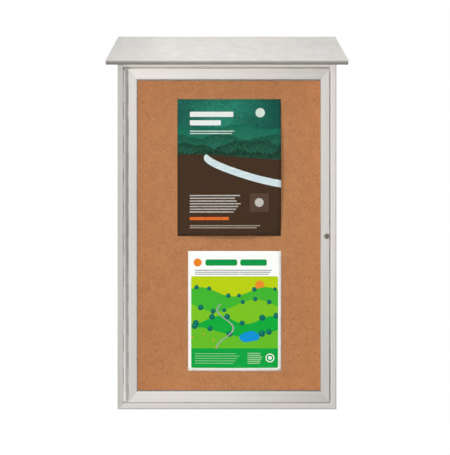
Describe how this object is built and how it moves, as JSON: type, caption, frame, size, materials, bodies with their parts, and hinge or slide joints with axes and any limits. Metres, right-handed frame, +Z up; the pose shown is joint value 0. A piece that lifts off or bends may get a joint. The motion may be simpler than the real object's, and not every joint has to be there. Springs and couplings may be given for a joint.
{
  "type": "lockable notice board",
  "caption": "Wall-hung outdoor notice case with a sloping roof, a cork back and a glazed door on a continuous hinge, held shut by a cam lock.",
  "frame": {"origin": "in the wall's plane, at the centre of the four wall bolt holes, which is the middle of the case's width and of its height without the roof", "axes": "+X to the viewer's right, +Y back into the wall, +Z up"},
  "size_m": [0.7164, 0.1712, 1.1774],
  "materials": {
    "board": "warm grey-white plastic lumber, faint lengthwise grain",
    "door_frame": "warm grey-white plastic lumber, faint lengthwise grain",
    "roof_sheet": "speckled off-white sheet, lightly textured",
    "back_sheet": "plain off-white sheet",
    "fibreboard": "soft brown fibreboard",
    "cork": "natural granular cork, unsealed",
    "print": "printed sheet, semi-matte",
    "pane": "clear, polished",
    "foam": "closed cell foam",
    "stainless": "stainless, brushed",
    "zinc": "zinc plated",
    "lock_chrome": "satin nickel plate, darkened by use"
  },
  "bodies": {
    "case": {"cabinet_side_left": "board", "cabinet_side_right": "board", "cabinet_top": "board", "cabinet_bottom": "board", "roof_cleat_left": "board", "roof_cleat_right": "board", "roof_rear_rail": "board", "wall_rail_top": "board", "wall_rail_bottom": "board", "door_stop_top": "board", "door_stop_bottom": "board", "door_stop_left": "board", "door_stop_right_upper": "board", "door_stop_right_lower": "board", "roof_panel": "roof_sheet", "back_panel": "back_sheet", "tack_backer": "fibreboard", "cork_sheet": "cork", "poster_sheet": "print", "flyer_sheet": "print", "door_seal": "foam", "case_screws": "stainless", "back_panel_screws": "stainless", "tack_screws": "stainless", "roof_screws": "stainless", "cleat_screws": "stainless", "door_stop_screws": "stainless", "hinge_screws_fixed": "stainless", "keeper_screws": "stainless", "hinge_leaf_fixed": "stainless", "hinge_pin": "stainless", "lock_keeper": "stainless"},
    "door": {"door_stile_hinge": "door_frame", "door_stile_lock": "door_frame", "door_rail_top": "door_frame", "door_rail_bottom": "door_frame", "glazing_bead_left": "door_frame", "glazing_bead_right": "door_frame", "glazing_bead_top": "door_frame", "glazing_bead_bottom": "door_frame", "door_screws": "stainless", "glazing_screws": "stainless", "hinge_screws_moving": "stainless", "window_pane": "pane", "glazing_tape": "foam", "hinge_leaf_moving": "stainless", "lock_body": "lock_chrome", "lock_washer": "zinc", "lock_nut": "zinc"},
    "lock": {"lock_plug": "lock_chrome", "lock_cam": "zinc", "lock_cam_screw": "zinc"}
  },
  "joints": [
    {"name": "door_swing", "type": "hinge", "parent": "case", "child": "door", "pos_m": [-0.3047, -0.1407, 0], "axis": [0, 0, -1], "range_deg": [0, 175]},
    {"name": "lock_turn", "type": "hinge", "parent": "door", "child": "lock", "pos_m": [0.3002, -0.12, -0.003], "axis": [0, 1, 0], "range_deg": [0, 90]}
  ]
}
